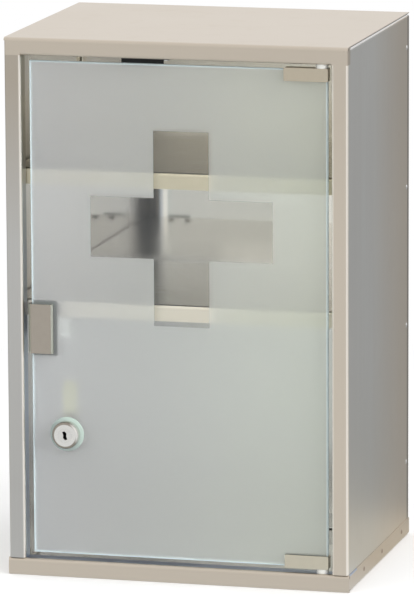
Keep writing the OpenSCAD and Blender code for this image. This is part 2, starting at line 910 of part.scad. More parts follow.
left_side();
right_side();
top_panel();
bottom_pan();
back_panel();
upper_shelf();
lower_shelf();
left_pan_rivets();
right_pan_rivets();
left_back_rivets();
right_back_rivets();
top_bush();
bottom_bush();
catch_body();
catch_magnet();
catch_poles();
catch_screws();
door_stop();
stop_rivet();
glass_door();
top_clip();
bottom_clip();
top_clip_pad();
bottom_clip_pad();
top_clip_screws();
bottom_clip_screws();
top_pivot_pin();
bottom_pivot_pin();
strike_clip();
strike_pad();
strike_screw();
lock_body();
lock_gasket();
lock_washer();
lock_nut();
lock_plug();
lock_cam();
cam_screw();
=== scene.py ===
"""Lockable wall cabinet of folded stainless sheet, with a frosted glass door that has a clear cross.

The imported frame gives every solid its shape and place. This script gives them their finishes
and lights the cabinet on a pale floor.
"""
import math

import bpy
import numpy as np
from mathutils import Matrix, Vector


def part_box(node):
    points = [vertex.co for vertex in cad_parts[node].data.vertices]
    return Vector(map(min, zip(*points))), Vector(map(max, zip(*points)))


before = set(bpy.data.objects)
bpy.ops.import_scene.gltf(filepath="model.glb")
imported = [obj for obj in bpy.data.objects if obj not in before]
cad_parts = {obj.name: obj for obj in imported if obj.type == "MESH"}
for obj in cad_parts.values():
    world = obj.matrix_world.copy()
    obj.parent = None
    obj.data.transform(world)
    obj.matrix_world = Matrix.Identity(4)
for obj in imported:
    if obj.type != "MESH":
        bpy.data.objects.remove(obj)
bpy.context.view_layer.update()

bl_info = {
    "name": "Glass Door Wall Cabinet",
    "version": (1, 0, 0),
    "blender": (4, 5, 0),
    "location": "View3D > Sidebar > Cabinet",
    "description": "Finishes a lockable sheet steel cabinet with a frosted glass door",
    "category": "Object",
}

SHELL_LOW, SHELL_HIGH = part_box("top_panel")
PANE_LOW, PANE_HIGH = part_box("glass_door")

# Places on the pieces, in metres. Depths are measured from the front of the shell.
RIM_START = 0.0095  # radius where the rounded rim of the lock's body begins
LEFT_FOLD_END_X = -0.142  # here the left wall's front fold ends, to whose right the folds carry a painted highlight
FOLD_DEPTHS = (0.0003, 0.0032)  # the flanges' front folds
LEDGE_Z = 0.0136  # top face of the floor pan's front band
LEDGE_DEPTHS = (0.0028, 0.03)
REAR_SHADE_WIDTH = 0.0065  # width of the painted shade along the sides' rear edge, where they meet the back
BACK_MIRROR_Z = 0.322  # above it the back carries a painted reflection of the shelf over it
KEYWAY_DEPTH = 0.0006
EDGE_INSET = 0.0011  # width of the pane's ground bevels as seen on its face

# Depths of the bumps, in metres.
BRUSH_BUMP = 0.0000055
BACK_BUMP = 0.000004
ETCH_BUMP = 0.000004
PLATING_BUMP = 0.00001
MOULD_BUMP = 0.00002
COARSE_BUMP = 0.00003

# Features per metre of the soft random patterns.
FILM_SCALE = 9.0
SPOT_SCALE = 45.0
PLATING_SCALE = 160.0
DRIFT_SCALE = 70.0
MOULD_SCALE = 900.0
MOTTLE_SCALE = 34.0
ETCH_SCALE = 2600.0

# Colours of zones that differ from the rest of their piece. Many of them are painted highlights, shade and
# reflections.
BLACK = (0.0, 0.0, 0.0)
WALL_FOOT_REFLECTION = (0.615, 0.60, 0.56)
FOLD_HIGHLIGHT = (0.95, 0.89, 0.81)
RETURN_MIDDLE_REFLECTION = (0.50, 0.56, 0.66)
RETURN_LOW_REFLECTION = (0.72, 0.79, 0.94)
TOP_FACE_LIGHT = (0.66, 0.59, 0.505)
PAN_LEDGE_SHADE = (0.46, 0.51, 0.62)
SIDES_INSIDE = (0.81, 0.80, 0.82)
UPPER_SHELF_SHADE = (0.64, 0.58, 0.45)
UPPER_LIP_SHADE = (0.68, 0.61, 0.45)
BACK_PAINTED_REFLECTION = (1.0, 0.98, 0.91)
BACK_ABOVE_SHADE = (0.84, 0.78, 0.67)
KEYWAY_SHADE = (0.012, 0.011, 0.010)
STRIKE_BEVEL_HIGHLIGHT = (0.56, 0.57, 0.50)
LOCK_RIM_SHADE = (0.25, 0.22, 0.18)
RING_SHADE = (0.40, 0.47, 0.45)
# Lit and shaded copies of one clip metal, as painted light: the bottom clip is lighter than the top one.
TOP_CLIP = (0.57, 0.50, 0.39)
BOTTOM_CLIP = (0.63, 0.58, 0.465)
PANE_SHADOW = (0.92, 0.95, 0.93, 1.0)
FLOOR_SEEN = (0.97, 0.97, 0.97)
FLOOR_LIT = (0.72, 0.72, 0.72)
ROOM_FRONT = (0.85, 0.87, 0.88)
ROOM_NEAR = (0.72, 0.68, 0.60)
ROOM_BEHIND = (0.395, 0.405, 0.41)
WHITE = (1.0, 1.0, 1.0, 1.0)


# ---------------------------------------------------------------- sizes and colours


class CabinetSizes(bpy.types.PropertyGroup):
    """Sizes of the patterns on the cabinet, in metres."""

    cross_centre_x: bpy.props.FloatProperty(
        name="Cross centre, across", description="Middle of the clear cross from the cabinet's middle plane",
        default=0.0038, unit="LENGTH", precision=4)
    cross_centre_z: bpy.props.FloatProperty(
        name="Cross centre, height", description="Height of the middle of the clear cross",
        default=0.3054, unit="LENGTH", precision=4)
    cross_width: bpy.props.FloatProperty(
        name="Cross width", description="Length of the cross's level bar",
        default=0.1589, min=0.02, unit="LENGTH", precision=4)
    cross_height: bpy.props.FloatProperty(
        name="Cross height", description="Length of the cross's upright bar",
        default=0.1668, min=0.02, unit="LENGTH", precision=4)
    upright_bar: bpy.props.FloatProperty(
        name="Upright bar", description="Width of the cross's upright bar",
        default=0.0481, min=0.005, unit="LENGTH", precision=4)
    level_bar: bpy.props.FloatProperty(
        name="Level bar", description="Height of the cross's level bar",
        default=0.0519, min=0.005, unit="LENGTH", precision=4)
    hairline: bpy.props.FloatProperty(
        name="Hairline pitch", description="Distance between the brush lines of the steel",
        default=0.00045, min=0.0001, unit="LENGTH", precision=5)
    sheet: bpy.props.FloatProperty(
        name="Sheet thickness",
        description="Thickness of the steel sheet, which tells its outer face from its inner one",
        default=0.0008, min=0.0002, unit="LENGTH", precision=4)
    frame_depth: bpy.props.FloatProperty(
        name="Frame depth", description="Depth of the front frame's returns, which carry the outer face's finish",
        default=0.0142, min=0.001, unit="LENGTH", precision=4)


class CabinetColours(bpy.types.PropertyGroup):
    """Colours and finishes of the cabinet's materials."""

    steel: bpy.props.FloatVectorProperty(
        name="Steel", description="Reflected colour of the stainless sheet",
        default=(0.595, 0.525, 0.440), min=0, max=1, subtype="COLOR")
    # This cool steel paints a reflection onto the front part of the side walls.
    cool_steel: bpy.props.FloatVectorProperty(
        name="Cool steel", description="Reflected colour of the front part of the side walls",
        default=(0.675, 0.67, 0.645), min=0, max=1, subtype="COLOR")
    # This grey paints shade on the left upright and the lighter streaks of the painted reflection on the side walls.
    shade_and_streak_steel: bpy.props.FloatVectorProperty(
        name="Dull steel", description="Reflected colour of the left upright",
        default=(0.485, 0.475, 0.455), min=0, max=1, subtype="COLOR")
    bright_mill: bpy.props.FloatVectorProperty(
        name="Bright mill steel", description="Reflected colour of the back between the shelves",
        default=(0.90, 0.86, 0.77), min=0, max=1, subtype="COLOR")
    shelf_steel: bpy.props.FloatVectorProperty(
        name="Shelf steel", description="Reflected colour of the shelves",
        default=(0.74, 0.68, 0.57), min=0, max=1, subtype="COLOR")
    mill: bpy.props.FloatVectorProperty(
        name="Mill steel", description="Reflected colour of the sheet's bright inner face",
        default=(0.70, 0.685, 0.65), min=0, max=1, subtype="COLOR")
    nickel: bpy.props.FloatVectorProperty(
        name="Nickel", description="Reflected colour of the plated lock",
        default=(0.80, 0.78, 0.74), min=0, max=1, subtype="COLOR")
    clip_steel: bpy.props.FloatVectorProperty(
        name="Clip steel", description="Reflected colour of the hinge clips and the strike",
        default=(0.54, 0.48, 0.41), min=0, max=1, subtype="COLOR")
    dull_rivet: bpy.props.FloatVectorProperty(
        name="Dull rivet", description="Reflected colour of the rivets in the floor pan's lips",
        default=(0.42, 0.34, 0.28), min=0, max=1, subtype="COLOR")
    aluminium: bpy.props.FloatVectorProperty(
        name="Aluminium", description="Reflected colour of the rivets",
        default=(0.86, 0.85, 0.83), min=0, max=1, subtype="COLOR")
    glass: bpy.props.FloatVectorProperty(
        name="Glass", description="Tint of the light that passes through the pane",
        default=(0.98, 0.99, 0.985), min=0, max=1, subtype="COLOR")
    glass_edge: bpy.props.FloatVectorProperty(
        name="Glass edge", description="Colour of the pane's ground edges",
        default=(0.86, 0.97, 1.0), min=0, max=1, subtype="COLOR")
    frost: bpy.props.FloatVectorProperty(
        name="Frost", description="Colour of the etched face on the lock's side",
        default=(0.93, 0.94, 0.955), min=0, max=1, subtype="COLOR")
    green_frost: bpy.props.FloatVectorProperty(
        name="Green frost", description="Colour of the etched face on the hinges' side",
        default=(0.885, 0.925, 0.85), min=0, max=1, subtype="COLOR")
    white_plastic: bpy.props.FloatVectorProperty(
        name="White plastic", description="Colour of the catch and the hinge bushes",
        default=(0.90, 0.90, 0.85), min=0, max=1, subtype="COLOR")
    mint_plastic: bpy.props.FloatVectorProperty(
        name="Mint plastic", description="Colour of the ring under the lock",
        default=(0.66, 0.80, 0.73), min=0, max=1, subtype="COLOR")
    dark_plastic: bpy.props.FloatVectorProperty(
        name="Dark plastic", description="Colour of the pads that grip the glass",
        default=(0.028, 0.034, 0.032), min=0, max=1, subtype="COLOR")
    strike_plastic: bpy.props.FloatVectorProperty(
        name="Strike plastic", description="Colour of the pad inside the strike",
        default=(0.17, 0.23, 0.195), min=0, max=1, subtype="COLOR")
    rubber: bpy.props.FloatVectorProperty(
        name="Rubber", description="Colour of the door stop and the lock's washer",
        default=(0.020, 0.020, 0.021), min=0, max=1, subtype="COLOR")
    passivated: bpy.props.FloatVectorProperty(
        name="Yellow passivation", description="Colour of the lock's cam",
        default=(0.86, 0.83, 0.50), min=0, max=1, subtype="COLOR")
    ferrite: bpy.props.FloatVectorProperty(
        name="Ferrite", description="Colour of the magnet",
        default=(0.022, 0.021, 0.022), min=0, max=1, subtype="COLOR")


class StudioSettings(bpy.types.PropertyGroup):
    """The floor, the lamps and the camera."""

    floor_reach: bpy.props.FloatProperty(
        name="Floor reach", description="Distance from the cabinet to the floor's edge",
        default=9.0, min=1, unit="LENGTH")
    key_power: bpy.props.FloatProperty(
        name="Key lamp", description="Power of the low lamp on the right", default=15.0, min=0, unit="POWER")
    top_power: bpy.props.FloatProperty(
        name="Top lamp", description="Power of the large lamp above", default=40.0, min=0, unit="POWER")
    fill_power: bpy.props.FloatProperty(
        name="Fill lamp", description="Power of the large lamp on the left", default=14.0, min=0, unit="POWER")
    sky: bpy.props.FloatProperty(
        name="Room light", description="Level of the even light from all sides", default=0.62, min=0)
    eye: bpy.props.FloatVectorProperty(
        name="Camera place", description="Where the camera stands",
        default=(1.19626, -4.51816, 1.10005), subtype="TRANSLATION")
    turn: bpy.props.FloatProperty(
        name="Camera turn", description="Angle of the view to the left",
        default=math.radians(14.8691), subtype="ANGLE")
    tilt: bpy.props.FloatProperty(
        name="Camera tilt", description="Angle of the view downwards",
        default=math.radians(10.6000), subtype="ANGLE")
    roll: bpy.props.FloatProperty(
        name="Camera roll", description="Angle of the camera about its view",
        default=math.radians(-0.2931), subtype="ANGLE")
    lens: bpy.props.FloatProperty(
        name="Lens", description="Focal length in millimetres for a sensor of 36 mm", default=330.645, min=20)


def sizes():
    """The sizes that are set in the scene."""
    return bpy.context.scene.cabinet_sizes


def colours():
    """The colours that are set in the scene."""
    return bpy.context.scene.cabinet_colours


def studio():
    """The stage settings that are set in the scene."""
    return bpy.context.scene.cabinet_studio


# ---------------------------------------------------------------- materials as expressions


class Tone:
    """A socket of a node tree, on which sums are written as Python expressions."""

    def __init__(self, recipe, socket):
        self.recipe = recipe
        self.socket = socket

    def math(self, operation, *terms):
        """Adds one Math node on the given terms, which are tones or numbers."""
        return self.recipe.node("ShaderNodeMath", {"operation": operation}, dict(enumerate(terms)))

    def __add__(self, other):
        return self.math("ADD", self, other)

    def __sub__(self, other):
        return self.math("SUBTRACT", self, other)

    def __rsub__(self, other):
        return self.math("SUBTRACT", other, self)

    def __mul__(self, other):
        return self.math("MULTIPLY", self, other)

    def __pow__(self, other):
        return self.math("POWER", self, other)

    def __abs__(self):
        return self.math("ABSOLUTE", self)

    __radd__ = __add__

    def clamp(self):
        """Held between 0 and 1."""
        return self.recipe.node("ShaderNodeClamp", {}, {"Value": self})

    def least(self, other):
        """The lower of two tones."""
        return self.math("MINIMUM", self, other)

    def most(self, other):
        """The higher of two tones."""
        return self.math("MAXIMUM", self, other)

    def over(self, edge, soft):
        """0 below the edge and 1 above it, with a ramp of width soft about it."""
        return ((self - edge) * (1.0 / soft) + 0.5).clamp()

    def under(self, edge, soft):
        """1 below the edge and 0 above it, with a ramp of width soft about it."""
        return 1.0 - self.over(edge, soft)


class Recipe:
    """The node tree of a material or of the world."""

    def __init__(self, owner):
        owner.use_nodes = True
        self.owner = owner
        self.tree = owner.node_tree
        self.tree.nodes.clear()

    def node(self, kind, settings=None, sockets=None, out=0):
        """Adds a node, sets its settings first and then its sockets' values or links, and gives one output."""
        made = self.tree.nodes.new(kind)
        for name, value in (settings or {}).items():
            setattr(made, name, value)
        for name, value in (sockets or {}).items():
            if isinstance(value, Tone):
                self.tree.links.new(value.socket, made.inputs[name])
            else:
                made.inputs[name].default_value = value
        return Tone(self, made.outputs[out])

    def place(self):
        """The three coordinates of a point in the piece's own space, in metres."""
        point = self.node("ShaderNodeTexCoord", {}, {}, "Object")
        parts = self.node("ShaderNodeSeparateXYZ", {}, {0: point})
        return [Tone(self, parts.socket.node.outputs[axis]) for axis in range(3)]

    def point(self, x, y, z):
        """A vector from three tones or numbers."""
        return self.node("ShaderNodeCombineXYZ", {}, {0: x, 1: y, 2: z})

    def noise(self, at, scale=1.0, detail=2.0, rough=0.5):
        """A soft random value about 0.5 at a point, whose features are 1 / scale apart."""
        return self.node("ShaderNodeTexNoise", {"noise_dimensions": "3D"},
                         {"Vector": at, "Scale": scale, "Detail": detail, "Roughness": rough}, "Fac")

    def clouds(self, scale, detail=3.0, rough=0.5):
        """Noise on the piece itself, whose features are 1 / scale metres apart."""
        return self.noise(self.point(*self.place()), scale, detail, rough)

    def blend(self, share, first, second):
        """The first colour where share is 0 and the second where it is 1."""
        def four(value):
            return value if isinstance(value, Tone) else (*value, 1.0)
        return self.node("ShaderNodeMix", {"data_type": "RGBA"}, {0: share, 6: four(first), 7: four(second)}, 2)

    def bump(self, height, depth, strength):
        """The normal of a surface whose height goes from 0 to depth metres."""
        return self.node("ShaderNodeBump", {}, {"Height": height, "Distance": depth, "Strength": strength})

    def surface(self, sockets):
        """A Principled shader with these sockets."""
        return self.node("ShaderNodeBsdfPrincipled", {}, sockets)

    def between(self, share, first, second):
        """The first shader where share is 0 and the second where it is 1."""
        return self.node("ShaderNodeMixShader", {}, {0: share, 1: first, 2: second})

    def ray(self, kind):
        """1 for rays of that kind and 0 for the others."""
        return self.node("ShaderNodeLightPath", {}, {}, kind)

    def done(self, shader, output="ShaderNodeOutputMaterial"):
        """Ends the tree in this shader and gives back its owner."""
        end = self.tree.nodes.new(output)
        self.tree.links.new(shader.socket, end.inputs["Surface"])
        return self.owner


def new_material(name):
    """An empty material's recipe."""
    return Recipe(bpy.data.materials.new(name))


def plain(colour):
    """A colour as a plain tuple."""
    return tuple(float(part) for part in colour)


def darker(colour, share):
    """A colour times a share."""
    return tuple(float(part) * share for part in colour)


GRAIN_AXES = {"x": 0, "y": 1, "z": 2}
GRAIN_LENGTH = 160.0  # length of a brush line over its width
STREAK_WIDTH = 11.0  # width of a streak over that of a brush line


def hairlines(r, grain, across):
    """Brush lines along one axis, and wide streaks beside them.

    Both are noise of a point that is squeezed along the grain, so that each line is long and thin.
    """
    x, y, z = r.place()
    squeeze = [1.0 / across] * 3
    squeeze[GRAIN_AXES[grain]] = 1.0 / (across * GRAIN_LENGTH)
    fine = r.noise(r.point(x * squeeze[0], y * squeeze[1], z * squeeze[2]), 1.0, 3.0, 0.62)
    wide = [part / STREAK_WIDTH for part in squeeze]
    streak = r.noise(r.point(x * wide[0] + 7.0, y * wide[1] + 3.0, z * wide[2]), 1.0, 2.0, 0.55)
    return fine, streak


def sheltered(x, y, z):
    """1 on the shell's inner faces behind the front frame, and 0 on its outer ones."""
    half, soft = sizes().sheet * 0.5, sizes().sheet * 0.4
    return (
        (SHELL_HIGH.x - half - abs(x)).over(0.0, soft)
        .least((SHELL_HIGH.z - half - z).over(0.0, soft))
        .least((z - half).over(0.0, soft))
        .least((y - SHELL_LOW.y - sizes().frame_depth).over(0.0, soft))
        .least((SHELL_HIGH.y - half - y).over(0.0, soft))
    )


def side_tone(r):
    """The outer colour of the sides.

    The walls carry a cool painted reflection in front, with random upright streaks, darker and warmer low down.
    The flanges are warm: painted light makes the right one lighter low down, and painted shade makes the left one
    darker, turning neutral grey below the middle. The folds that face right carry a painted highlight, the left
    flange's return a cool painted reflection, and the rear edge a painted shade.
    """
    x, y, z = r.place()
    c = colours()
    depth = y - SHELL_LOW.y
    wall = depth.over(0.0026, 0.001) * y.under(0.03, 0.12)
    left = (0.0 - x).over(0.08, 0.02)
    past_fold = x.over(LEFT_FOLD_END_X, 0.001)

    # Painted shade: the left flange is darker than the right one, and neutral grey below the middle. Painted light
    # makes the right flange lighter low down.
    cool = r.blend(z.under(0.18, 0.2), darker(c.shade_and_streak_steel, 1.1), plain(c.shade_and_streak_steel))
    upright = r.blend(z.under(0.36, 0.14), darker(c.steel, 0.78), cool)
    right = r.blend(z.under(0.36, 0.14), plain(c.steel), darker(c.steel, 1.07))

    # Painted reflection on the side walls: a cool tone with random upright streaks, darker and warmer low down.
    drift = r.noise(r.point(x, y * 34.0, z * 2.5), 1.0, 2.0, 0.5).over(0.5, 0.3)
    wall_reflection = r.blend(drift, plain(c.cool_steel), darker(c.shade_and_streak_steel, 1.35))
    wall_reflection = r.blend(z.under(0.13, 0.12), wall_reflection, WALL_FOOT_REFLECTION)

    tone = r.blend(wall, r.blend(left, right, upright), wall_reflection)
    fold = depth.over(FOLD_DEPTHS[0], 0.0004) * depth.under(FOLD_DEPTHS[1], 0.0008)
    # Painted highlight on the folds that face right.
    tone = r.blend(fold * past_fold, tone, FOLD_HIGHLIGHT)
    inner_side = left * past_fold * wall * (1.0 - fold)
    # Cool painted reflection on the left flange's return: darker in the middle, paler low down.
    tone = r.blend(inner_side * z.under(0.33, 0.1), tone, RETURN_MIDDLE_REFLECTION)
    tone = r.blend(inner_side * z.under(0.20, 0.1), tone, RETURN_LOW_REFLECTION)
    # Painted shade: the rear edge of the walls is darkened halfway to black.
    return r.blend(y.over(SHELL_HIGH.y - REAR_SHADE_WIDTH, 0.002) * 0.5, tone, BLACK)


def level_tone(r):
    """The outer colour of the top and the floor pan: painted light makes the top face lighter, and painted shade
    makes the pan's ledge darker and cool.
    """
    x, y, z = r.place()
    depth = y - SHELL_LOW.y
    # Painted light: the top face is lighter than the rest of the sheet.
    tone = r.blend(z.over(SHELL_HIGH.z - 0.0006, 0.0004), plain(colours().steel), TOP_FACE_LIGHT)
    # Painted shade: the floor pan's ledge is darker and cool.
    ledge = z.over(LEDGE_Z, 0.0008) * z.under(0.1, 0.01)
    ledge = ledge * depth.over(LEDGE_DEPTHS[0], 0.001) * depth.under(LEDGE_DEPTHS[1], 0.001)
    return r.blend(ledge, tone, PAN_LEDGE_SHADE)


def sheet_steel(name, grain):
    """Brushed stainless sheet, with an upright grain for the sides and a level one for the top and the floor pan.

    Its outer face is satin, and its sheltered inner face keeps the mill's brighter finish.
    """
    r = new_material(name)
    x, y, z = r.place()
    c = colours()
    fine, streak = hairlines(r, grain, sizes().hairline)
    film = r.clouds(FILM_SCALE)
    spots = r.noise(r.point(x + 0.3, y, z), SPOT_SCALE, 2.0, 0.5).over(0.63, 0.10)
    inside = sheltered(x, y, z)
    satin = 0.30 + fine * 0.10 + film * 0.07 + spots * 0.03
    bright = 0.03 + fine * 0.02 + film * 0.03 + y.under(-0.02, 0.05) * 0.22
    rough = satin + (bright - satin) * inside
    shade = (fine * 0.10 + streak * 0.10 + film * 0.10 - 0.15).clamp()
    if grain == "z":
        tint = r.blend(inside, side_tone(r), SIDES_INSIDE)
    else:
        tint = r.blend(inside, level_tone(r), plain(c.mill))
    worn = r.blend(inside, darker(c.steel, 0.55), darker(c.mill, 0.7))
    return r.done(r.surface({
        "Base Color": r.blend(shade, tint, worn), "Metallic": 1.0, "Roughness": rough,
        "Normal": r.bump(fine, BRUSH_BUMP, 0.35)}))


def shelf_sheet(name):
    """Brushed sheet with an even satin finish and soft clouds, for the shelves. Their front lips are warmer, and
    painted shade makes the upper shelf's face and lip darker.
    """
    r = new_material(name)
    y, z = r.place()[1:]
    c = colours()
    fine, streak = hairlines(r, "x", sizes().hairline)
    film = r.clouds(FILM_SCALE)
    lip = (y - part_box("upper_shelf")[0].y).under(0.0012, 0.0006)
    upper = z.over((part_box("upper_shelf")[0].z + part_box("lower_shelf")[1].z) / 2, 0.01)
    haze = (fine * 0.1 + streak * 0.2 + film * 0.2 - 0.15).clamp()
    # Painted shade: the upper shelf's face and lip are darker than the lower shelf's.
    face = r.blend(upper, r.blend(haze, darker(c.mill, 1.06), darker(c.mill, 0.78)), UPPER_SHELF_SHADE)
    front = r.blend(upper, darker(c.shelf_steel, 1.12), UPPER_LIP_SHADE)
    return r.done(r.surface({
        "Base Color": r.blend(lip, face, front), "Metallic": 1.0,
        "Roughness": 0.19 + fine * 0.08 + film * 0.06 + lip * 0.1, "Normal": r.bump(fine, BRUSH_BUMP, 0.35)}))


def back_sheet(name):
    """The back panel: bright and smooth between the shelves, with a painted reflection of the upper shelf under it,
    and duller above and below them; above the shelves painted shade also makes it darker.
    """
    r = new_material(name)
    z = r.place()[2]
    c = colours()
    fine, streak = hairlines(r, "x", sizes().hairline)
    film = r.clouds(FILM_SCALE)
    above = z.over(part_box("upper_shelf")[1].z, 0.01)
    below = z.under(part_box("lower_shelf")[1].z, 0.01)
    haze = (fine * 0.1 + streak * 0.15 + film * 0.15 - 0.12).clamp()
    between_shelves = r.blend(haze, plain(c.bright_mill), darker(c.bright_mill, 0.7))
    # Painted reflection: high between the shelves the back is painted bright, as if reflecting the shelf over it.
    between_shelves = r.blend(z.over(BACK_MIRROR_Z, 0.012), between_shelves, BACK_PAINTED_REFLECTION)
    # Painted shade: above the upper shelf the back is darker.
    tone = r.blend(below, r.blend(above, between_shelves, BACK_ABOVE_SHADE), darker(c.mill, 1.36))
    return r.done(r.surface({
        "Base Color": tone, "Metallic": 1.0,
        "Roughness": 0.03 + film * 0.03 + fine * 0.02 + above.most(below) * 0.2,
        "Normal": r.bump(fine, BACK_BUMP, 0.3)}))


def bright_metal(name, colour, low, high, wear=0.5):
    """Plated or plain metal with fine random scratches, a cloudy film, and slight dulling in patches."""
    r = new_material(name)
    x, y, z = r.place()
    cloud = r.clouds(PLATING_SCALE, 3.0, 0.6)
    scratch = r.noise(r.point(x * 900.0, y * 900.0, z * 5200.0 + x * 700.0), 1.0, 2.0, 0.6).over(0.62, 0.2)
    base = r.blend((cloud * 0.5 + scratch * 0.3) * wear, plain(colour), darker(colour, 0.6))
    rough = low + (cloud * 0.7 + scratch * 0.5) * (high - low)
    return r.done(r.surface({
        "Base Color": base, "Metallic": 1.0, "Roughness": rough,
        "Normal": r.bump(cloud, PLATING_BUMP, 0.4)}))


def plug_metal(name, colour):
    """Plating on the plug's face. All that lies a hair behind it shows only in the keyway, and is painted near-black
    as shade.
    """
    r = new_material(name)
    y = r.place()[1]
    deep = (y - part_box("lock_plug")[0].y - KEYWAY_DEPTH).over(0.0, 0.0003)
    cloud = r.clouds(PLATING_SCALE, 3.0, 0.6)
    # Painted shade: the keyway is near-black.
    base = r.blend(deep, r.blend(cloud * 0.3, plain(colour), darker(colour, 0.6)), KEYWAY_SHADE)
    return r.done(r.surface({
        "Base Color": base, "Metallic": 1.0 - deep, "Roughness": 0.14 + cloud * 0.08 + deep * 0.5,
        "Normal": r.bump(cloud, PLATING_BUMP, 0.4)}))


def strike_metal(name, colour):
    """Brushed plating, with a painted highlight on the bevels of the strike's front."""
    r = new_material(name)
    depth = r.place()[1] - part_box("strike_clip")[0].y
    bevel = depth.over(0.0003, 0.0003) * depth.under(0.0023, 0.0006)
    cloud = r.clouds(PLATING_SCALE, 3.0, 0.6)
    tone = r.blend(cloud * 0.25, darker(colour, 0.80), darker(colour, 0.55))
    base = r.blend(bevel, tone, STRIKE_BEVEL_HIGHLIGHT)
    return r.done(r.surface({
        "Base Color": base, "Metallic": 1.0, "Roughness": 0.32 + cloud * 0.1,
        "Normal": r.bump(cloud, PLATING_BUMP, 0.4)}))


def lock_metal(name, colour):
    """Bright plating. Painted shade makes the rounded rim about the face browner and darker, but for its right side.
    """
    r = new_material(name)
    x, y, z = r.place()
    low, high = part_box("lock_body")
    across, up = x - (low.x + high.x) / 2, z - (low.z + high.z) / 2
    rim = ((across * across + up * up) ** 0.5).over(RIM_START, 0.0006) * y.under(low.y + 0.004, 0.001)
    rim = rim * (across * 0.9 + up * 0.25).under(0.0075, 0.003)
    cloud = r.clouds(PLATING_SCALE, 3.0, 0.6)
    base = r.blend(rim * 0.9, r.blend(cloud * 0.2, plain(colour), darker(colour, 0.6)), LOCK_RIM_SHADE)
    return r.done(r.surface({
        "Base Color": base, "Metallic": 1.0, "Roughness": 0.12 + cloud * 0.08,
        "Normal": r.bump(cloud, PLATING_BUMP, 0.4)}))


def ring_plastic(name, colour):
    """Translucent plastic ring: pale at its upper right, and as grey as the etched pane elsewhere."""
    r = new_material(name)
    x, _, z = r.place()
    low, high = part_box("lock_gasket")
    lit = ((x - (low.x + high.x) / 2) * 0.8 + (z - (low.z + high.z) / 2) * 0.6).over(0.003, 0.014)
    texture = r.clouds(MOULD_SCALE, 2.0)
    base = r.blend(lit, RING_SHADE, plain(colour))
    return r.done(r.surface({
        "Base Color": base, "Roughness": 0.3 + texture * 0.1, "Normal": r.bump(texture, MOULD_BUMP, 0.5)}))


def moulded(name, colour, low, high, gloss=0.5, grain=MOULD_SCALE, depth=MOULD_BUMP):
    """Moulded plastic or rubber with a fine spark-eroded texture, slight colour drift and handling marks."""
    r = new_material(name)
    texture = r.clouds(grain, 2.0)
    drift = r.clouds(DRIFT_SCALE, 2.0)
    base = r.blend(drift * 0.6 + texture * 0.25, plain(colour), darker(colour, 0.78))
    rough = low + drift * (high - low)
    return r.done(r.surface({
        "Base Color": base, "Roughness": rough, "Specular IOR Level": gloss,
        "Normal": r.bump(texture, depth, 0.5)}))


def cross_mask(r):
    """1 inside the clear cross: a point is inside where it lies within either bar's half length and half width.

    Towards the pane's rear face the cross grows by 0.3 of the depth, so that its outline stays sharp from the front.
    """
    x, y, z = r.place()
    s = sizes()
    blur = 0.0004
    grown = (y - PANE_LOW.y) * 0.3
    off_x, off_z = abs(x - s.cross_centre_x) - grown, abs(z - s.cross_centre_z) - grown

    def bar(half_x, half_z):
        return (half_x - off_x).over(0.0, blur).least((half_z - off_z).over(0.0, blur))

    return bar(s.cross_width / 2, s.level_bar / 2).most(bar(s.upright_bar / 2, s.cross_height / 2))


def edge_mask(r):
    """1 on the pane's ground edges and their small bevels."""
    x, _, z = r.place()
    middle, half = (PANE_LOW + PANE_HIGH) / 2, (PANE_HIGH - PANE_LOW) / 2
    sides = (abs(x - middle.x) - (half.x - EDGE_INSET)).over(0.0, 0.0002)
    ends = (abs(z - middle.z) - (half.z - EDGE_INSET)).over(0.0, 0.0002)
    return sides.most(ends)


def etched_glass(name):
    """Float glass with an etched satin face, left clear in the cross, and with ground edges."""
    r = new_material(name)
    across = r.place()[0].over(0.0, 0.26)
    mottle = r.clouds(MOTTLE_SCALE, 3.0, 0.55)
    etch = r.clouds(ETCH_SCALE, 1.0)
    c = colours()
    polished = r.surface({
        "Base Color": (*plain(c.glass), 1.0), "Roughness": 0.0, "IOR": 1.5, "Transmission Weight": 1.0})
    ground = r.surface({
        "Base Color": (*plain(c.glass_edge), 1.0), "Roughness": 0.6, "IOR": 1.5, "Transmission Weight": 0.35})
    frost = r.blend(across, plain(c.frost), plain(c.green_frost))
    tint = r.blend(mottle * 0.3, frost, darker(c.frost, 0.9))
    satin = r.surface({
        "Base Color": tint, "Roughness": 0.40 + mottle * 0.05, "IOR": 1.5, "Transmission Weight": 0.80,
        "Normal": r.bump(etch, ETCH_BUMP, 0.3)})
    pane = r.between(edge_mask(r), r.between(cross_mask(r), satin, polished), ground)
    through = r.node("ShaderNodeBsdfTransparent", {}, {"Color": PANE_SHADOW})
    return r.done(r.between(r.ray("Is Shadow Ray"), pane, through))


def dress(material, *nodes):
    """Puts one material on every slot of these CAD nodes."""
    for node in nodes:
        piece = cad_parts[node]
        if not piece.material_slots:
            piece.data.materials.append(material)
        for slot in piece.material_slots:
            slot.material = material


# ---------------------------------------------------------------- surfaces


def grid_mesh(name, points):
    """A mesh of the quads of a grid of points, shape (rows, columns, 3)."""
    rows, columns = points.shape[:2]
    index = np.arange(rows * columns).reshape(rows, columns)
    quads = np.stack([index[:-1, :-1], index[:-1, 1:], index[1:, 1:], index[1:, :-1]], axis=-1).reshape(-1, 4)
    mesh = bpy.data.meshes.new(name)
    mesh.from_pydata(points.reshape(-1, 3), [], quads)
    mesh.update()
    return mesh


def show(name, mesh, material):
    """Links a smooth mesh to the scene as an object at the origin, with its material."""
    mesh.materials.append(material)
    mesh.polygons.foreach_set("use_smooth", np.full(len(mesh.polygons), True))
    made = bpy.data.objects.new(name, mesh)
    bpy.context.scene.collection.objects.link(made)
    return made


